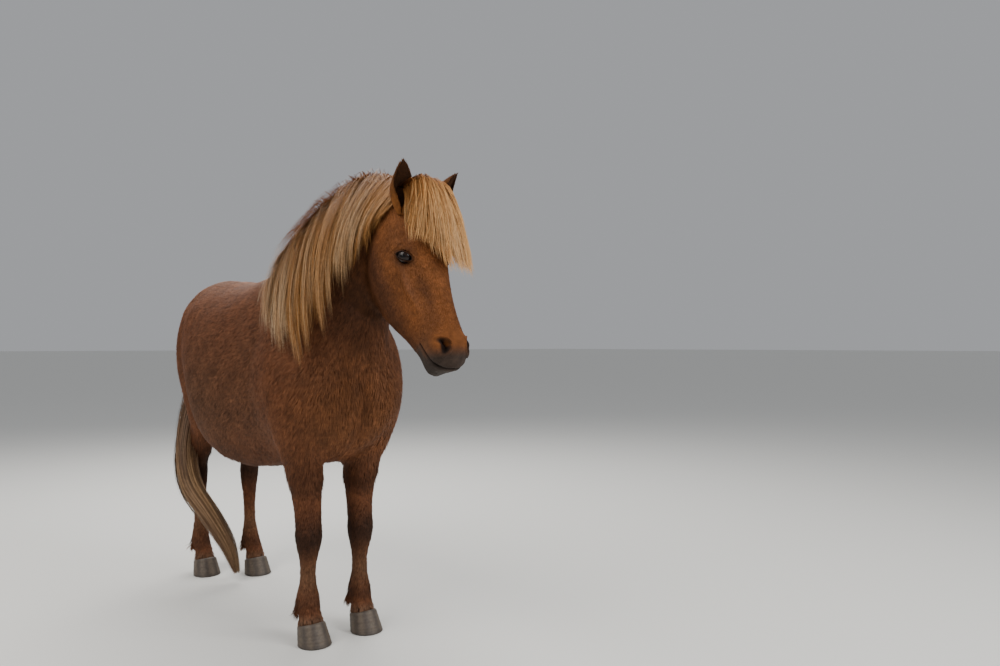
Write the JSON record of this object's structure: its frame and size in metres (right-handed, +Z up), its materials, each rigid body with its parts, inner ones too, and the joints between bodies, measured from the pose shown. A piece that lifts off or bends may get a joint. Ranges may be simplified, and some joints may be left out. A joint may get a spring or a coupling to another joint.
{
  "type": "icelandic horse model",
  "caption": "Life-size still model of a standing chestnut Icelandic horse with a thick fair mane, forelock and tail.",
  "frame": {"origin": "middle of the box round the whole animal, at floor level", "axes": "+Z up; -Y is the way the nose points, so Y runs along the body; -X is the horse's right side"},
  "size_m": [0.6242, 1.9748, 1.645],
  "materials": {
    "coat": "shaggy chestnut winter coat",
    "long_hair": "long fair flaxen to ginger hair",
    "hoof": "ridged grey-brown horn",
    "eye": "wet dark brown eye"
  },
  "bodies": {
    "root": {"torso": "coat", "neck": "coat", "head": "coat", "ear_right": "coat", "ear_left": "coat", "eye_right": "eye", "eye_left": "eye", "leg_front_right": "coat", "leg_front_left": "coat", "leg_hind_right": "coat", "leg_hind_left": "coat", "hoof_front_right": "hoof", "hoof_front_left": "hoof", "hoof_hind_right": "hoof", "hoof_hind_left": "hoof", "mane": "long_hair", "forelock": "long_hair", "tail": "long_hair"}
  },
  "joints": []
}
